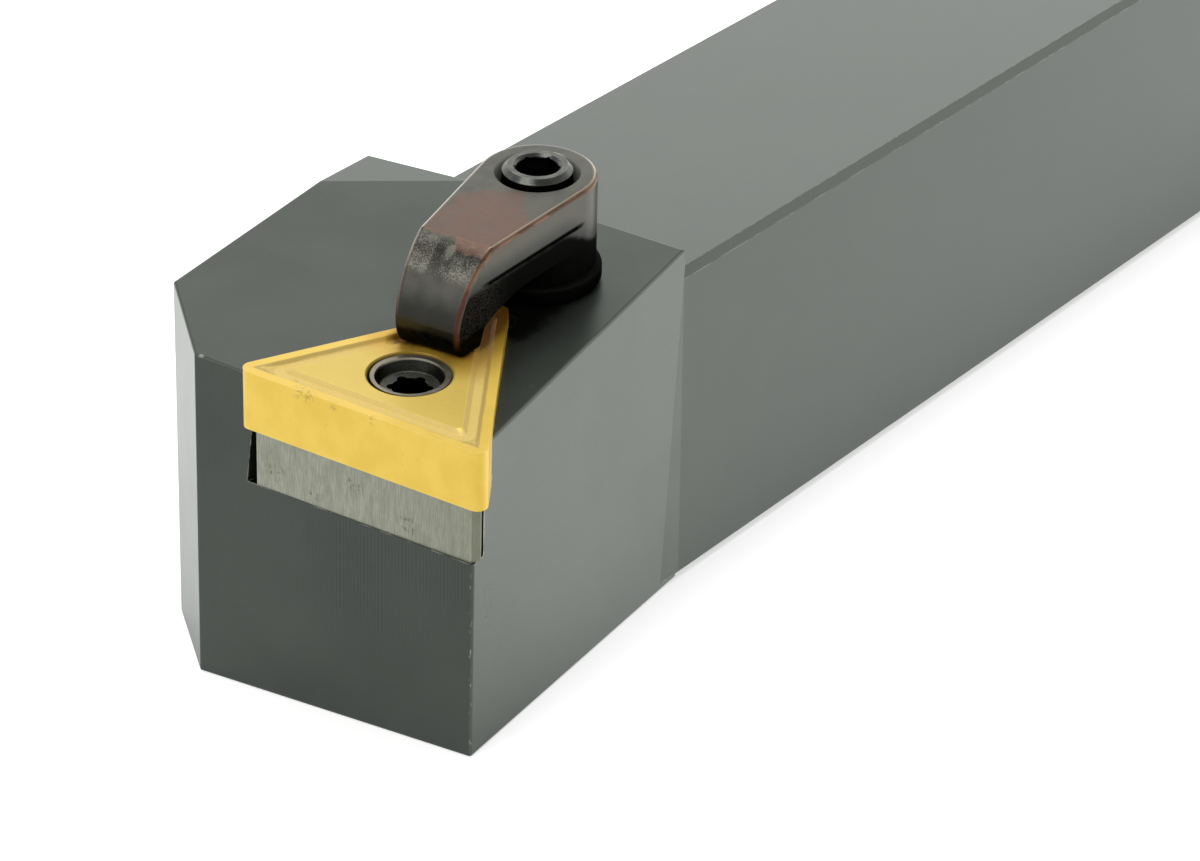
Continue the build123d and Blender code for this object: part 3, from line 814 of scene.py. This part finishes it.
def clamp_steel():
    """Dark steel: grey and reddish brown on top, rubbed on the brow, oily at the nose; painted shade low on
    the sides and in the bore, painted highlights on the right edge and the countersink.
    """
    f = Finish("clamp_steel", metallic=0.8)
    forward, side, up = f.local(SCREW_POINT, CLAMP)
    cloud = f.noise(1.6 * MM, detail=4)
    grain = f.noise(0.11 * MM, detail=3)
    pits = f.noise(0.22 * MM, detail=3, seed=3.8)
    level = f.math("ABSOLUTE", f.tilt(NORMAL))
    brow = f.times(f.step(forward, KNEE - 0.1, KNEE + 0.7), f.step(f.tilt(CLAMP_X), 0.1, 0.3))
    sides = f.times(f.step(level, 0.5, 0.25), f.outside(brow))
    rubbed = brow_scratches(f, forward, side, up)
    # painted shade low on the boss and the arm's sides
    dim, dark = side_shade(f, forward, up)
    under = f.times(dark, f.outside(brow))
    by_nose = f.times(f.step(forward, 8.5, 12.5), f.step(grain, 0.36, 0.66))
    wet = f.plus(up, f.ramp(cloud, 0.8, -0.4))
    tanned = f.times(brow, f.band(wet, OIL_HEIGHT - 0.3, OIL_HEIGHT, 0.5))
    oily = f.times(f.step(wet, OIL_HEIGHT, OIL_HEIGHT - 0.7), f.step(forward, 6.0, 8.0))
    sink, bore = screw_hole(f, forward, side, up, level)

    patch_colour = f.mix(f.spread(grain), PATCH_DARK, PATCH_PALE)
    colour = f.mix(f.spread(cloud), CLAMP_DARK, CLAMP_PALE)
    colour = f.cover(colour, brow, f.mix(f.step(cloud, 0.4, 0.6), BROW_DARK, BROW_PALE))
    colour = f.cover(colour, red_patch(f, forward, side, up), patch_colour, strength=0.92)
    colour = f.cover(colour, rubbed, RUBBED_STEEL, strength=0.6)
    colour = f.cover(colour, f.times(brow, f.step(up, 6.8, 3.8)), BROW_FOOT, strength=0.7)
    colour = f.cover(colour, sides, ARM_SIDE, strength=0.9)
    colour = f.cover(colour, f.times(dim, sides), ARM_SHADE_DIM, strength=0.9)
    # painted shade: the rough steel under the arm is painted black, with brownish flecks near the nose
    colour = f.cover(colour, under, f.mix(by_nose, SHADE_BLACK, UNDER_FLECK), strength=0.95)
    colour = f.cover(colour, tanned, BROW_TAN, strength=0.5)
    colour = f.cover(colour, oily, NOSE_OIL, strength=0.95)
    colour = worn_edges(f, colour, forward, side, up)
    # painted highlight in the countersink
    colour = f.cover(colour, sink, SINK_HIGHLIGHT, strength=0.7)
    # painted shade in the bore
    colour = f.cover(colour, bore, SHADE_BLACK)

    roughness = f.blend(under, f.ramp(cloud, 0.14, 0.26), 0.5)
    roughness = f.blend(rubbed, roughness, 0.42)
    roughness = f.blend(oily, roughness, 0.2)
    relief = f.bump(grain, depth=0.004 * MM)
    relief = f.bump(rubbed, depth=0.004 * MM, before=relief)
    relief = f.bump(f.times(pits, sides, f.blend(dark, 0.3, 1.0)), depth=0.025 * MM, before=relief)
    dull = f.times(under, f.minus(0.85, f.times(by_nose, 0.5)))
    return f.finish(colour, roughness, relief, mute=f.either(dull, f.times(oily, 0.6), bore))


# ---- clamp screw ----
SCREW_DARK = srgb(92, 94, 89)
SCREW_PALE = srgb(112, 114, 108)
SCREW_TURNED = srgb(146, 146, 138)
# painted highlight along the screw's edges
SCREW_EDGE_HIGHLIGHT = srgb(178, 174, 160)
# painted shade in the socket and below the chamfered end
SCREW_SHADE_BLACK = srgb(7, 7, 6)


def screw_shade(f, forward, side, up):
    """Painted shade: the screw's socket, and its outside below the chamfered end."""
    within = f.step(f.away(forward, side), SCREW_SOCKET_RADIUS + 0.1, SCREW_SOCKET_RADIUS)
    socket = f.times(within, f.step(up, SCREW_TOP - 0.18, SCREW_TOP - 0.26))
    chamfer_foot = SCREW_TOP - SCREW_CHAMFER
    return f.either(socket, f.step(up, chamfer_foot + 0.05, chamfer_foot - 0.04))


def screw_steel():
    """Black oxide with a grey turned end, painted shade in the socket and below the end, painted highlights
    on the edges, and threads lower down.
    """
    f = Finish("screw_steel", metallic=0.85)
    forward, side, up = f.local(SCREW_POINT, CLAMP)
    rings = turned_rings(f, forward, side, up, size=0.08, around_scale=0.08, up_scale=0.6)
    cloud = f.noise(1.0 * MM, detail=4, seed=1.4)
    black = screw_shade(f, forward, side, up)

    colour = f.mix(f.spread(cloud), SCREW_DARK, SCREW_PALE)
    colour = f.cover(colour, f.step(rings, 0.5, 0.7), SCREW_TURNED, strength=0.3)
    # painted highlight along the edges
    colour = f.cover(colour, f.edges(0.07 * MM), SCREW_EDGE_HIGHLIGHT, strength=0.3)
    # painted shade in the socket and below the chamfer
    colour = f.cover(colour, f.times(black, f.step(up, 0.0, 2.0)), SCREW_SHADE_BLACK)

    thread = thread_relief(f, forward, side, up, top=SCREW_TOP - 0.5, sign=-1.0)
    relief = turned_relief(f, rings, thread)
    return f.finish(colour, f.ramp(cloud, 0.16, 0.18), relief, mute=f.times(black, 0.9))


FINISHES = {
    "holder_body": oxided_steel,
    "carbide_insert": coated_carbide,
    "shim_seat": ground_steel,
    "lock_pin": pin_steel,
    "top_clamp": clamp_steel,
    "clamp_screw": screw_steel,
}
for node_name, make in FINISHES.items():
    mesh = frame["nodes"][node_name].data
    mesh.materials.clear()
    mesh.materials.append(make())


# ---- stage, lengths in metres ----
WHITE = (1, 1, 1, 1)
FLOOR_HALF = 3.0
FLOOR_HEIGHT = -0.01 * MM  # just under the shank
FLOOR_WHITE = 0.86
CAMERA_GLOW = 0.52  # the floor's own glow, for the camera
BACKDROP_GLOW = 0.95  # behind and beside the tool, for the metal
FRONT_GLOW = 0.0  # in front of the tool
GLOW_BEARING = math.radians(5.4)  # direction in which the floor turns dark to the metal
BACKDROP_REACH = 0.058  # from the origin along that direction
FRONT_REACH = 0.114
HORIZON_HEIGHT = 0.38  # upward part of a direction, up to which the sky is at its brightest
ZENITH_HEIGHT = 0.68  # and from which it is at its darkest
HORIZON_GLOW = 0.94
ZENITH_GLOW = 0.12
SKY_FLOOD = 0.50  # the sky's strength as light on matt surfaces

LAMPS = {  # place, aim, size, power in watts
    "back": ((-0.90, -0.56, 0.42), (0.04, 0.0, 0.02), 0.90, 1.9),
    "key": ((-0.10, -0.10, 0.85), (0.04, 0.0, 0.01), 0.50, 3.8),
    "fill": ((0.60, -0.10, 0.45), (0.08, 0.0, 0.01), 0.50, 1.7),
}


def link_math(tree, operation, first, second):
    """A math node between two outputs or numbers of a node tree."""
    node = tree.nodes.new("ShaderNodeMath")
    node.operation = operation
    for socket, value in zip(node.inputs, (first, second)):
        if isinstance(value, bpy.types.NodeSocket):
            tree.links.new(value, socket)
        else:
            socket.default_value = value
    return node.outputs[0]


def link_range(tree, value, start, end, interpolation="LINEAR"):
    """Maps a value to a number: start and end are each a pair of value and number."""
    node = tree.nodes.new("ShaderNodeMapRange")
    node.interpolation_type = interpolation
    tree.links.new(value, node.inputs["Value"])
    node.inputs["From Min"].default_value = start[0]
    node.inputs["From Max"].default_value = end[0]
    node.inputs["To Min"].default_value = start[1]
    node.inputs["To Max"].default_value = end[1]
    return node.outputs[0]


def link_rays(tree):
    """Masks for rays from the camera, and for rays that a piece has mirrored or let through."""
    path = tree.nodes.new("ShaderNodeLightPath").outputs
    mirrored = link_math(tree, "MAXIMUM", path["Is Glossy Ray"], path["Is Transmission Ray"])
    return path["Is Camera Ray"], mirrored


def floor_glow(tree):
    """How strongly the floor glows: evenly to the camera, and less in front of the tool to the metal."""
    seen, mirrored = link_rays(tree)
    along = tree.nodes.new("ShaderNodeVectorMath")
    along.operation = "DOT_PRODUCT"
    along.inputs[1].default_value = (math.cos(GLOW_BEARING), math.sin(GLOW_BEARING), 0)
    tree.links.new(tree.nodes.new("ShaderNodeTexCoord").outputs["Object"], along.inputs[0])
    backdrop = (BACKDROP_REACH, BACKDROP_GLOW)
    front = (FRONT_REACH, FRONT_GLOW)
    fall = link_range(tree, along.outputs["Value"], backdrop, front, interpolation="SMOOTHSTEP")
    to_metal = link_math(tree, "MULTIPLY", mirrored, fall)
    to_camera = link_math(tree, "MULTIPLY", seen, CAMERA_GLOW)
    return link_math(tree, "ADD", to_metal, to_camera)


def make_floor():
    """A matt white floor that takes the tool's soft shadow."""
    corners = [(-1, -1), (1, -1), (1, 1), (-1, 1)]
    mesh = bpy.data.meshes.new("floor")
    mesh.from_pydata([(x * FLOOR_HALF, y * FLOOR_HALF, FLOOR_HEIGHT) for x, y in corners], [], [(0, 1, 2, 3)])
    floor = bpy.data.objects.new("floor", mesh)
    bpy.context.scene.collection.objects.link(floor)
    material = bpy.data.materials.new("floor")
    material.use_nodes = True
    material.cycles.emission_sampling = "NONE"
    tree = material.node_tree
    shader = tree.nodes["Principled BSDF"]
    shader.inputs["Base Color"].default_value = (FLOOR_WHITE, FLOOR_WHITE, FLOOR_WHITE, 1)
    shader.inputs["Roughness"].default_value = 1.0
    shader.inputs["Specular IOR Level"].default_value = 0.0
    shader.inputs["Emission Color"].default_value = WHITE
    tree.links.new(floor_glow(tree), shader.inputs["Emission Strength"])
    mesh.materials.append(material)


def make_world():
    """White to the camera; to the metal, nearly white up to some height and darker overhead."""
    world = bpy.data.worlds.new("world")
    world.use_nodes = True
    world.cycles.sampling_method = "NONE"
    bpy.context.scene.world = world
    tree = world.node_tree
    seen, mirrored = link_rays(tree)
    split = tree.nodes.new("ShaderNodeSeparateXYZ")
    tree.links.new(tree.nodes.new("ShaderNodeTexCoord").outputs["Generated"], split.inputs[0])
    horizon = (HORIZON_HEIGHT, HORIZON_GLOW)
    zenith = (ZENITH_HEIGHT, ZENITH_GLOW)
    to_metal = link_math(tree, "MULTIPLY", mirrored, link_range(tree, split.outputs["Z"], horizon, zenith))
    to_others = link_math(tree, "MULTIPLY", link_math(tree, "SUBTRACT", 1.0, mirrored), SKY_FLOOD)
    strength = link_math(tree, "MAXIMUM", link_math(tree, "ADD", to_metal, to_others), seen)
    background = tree.nodes["Background"]
    background.inputs["Color"].default_value = WHITE
    tree.links.new(strength, background.inputs["Strength"])


def make_lamp(name, place, aim, size, power):
    """A soft square lamp."""
    data = bpy.data.lights.new(name, "AREA")
    data.size = size
    data.energy = power
    lamp = bpy.data.objects.new(name, data)
    bpy.context.scene.collection.objects.link(lamp)
    lamp.location = place
    lamp.rotation_mode = "QUATERNION"
    lamp.rotation_quaternion = (Vector(place) - Vector(aim)).to_track_quat("Z", "Y")


make_floor()
make_world()
for lamp_name, settings in LAMPS.items():
    make_lamp(lamp_name, *settings)

bpy.context.scene.view_settings.view_transform = "Standard"
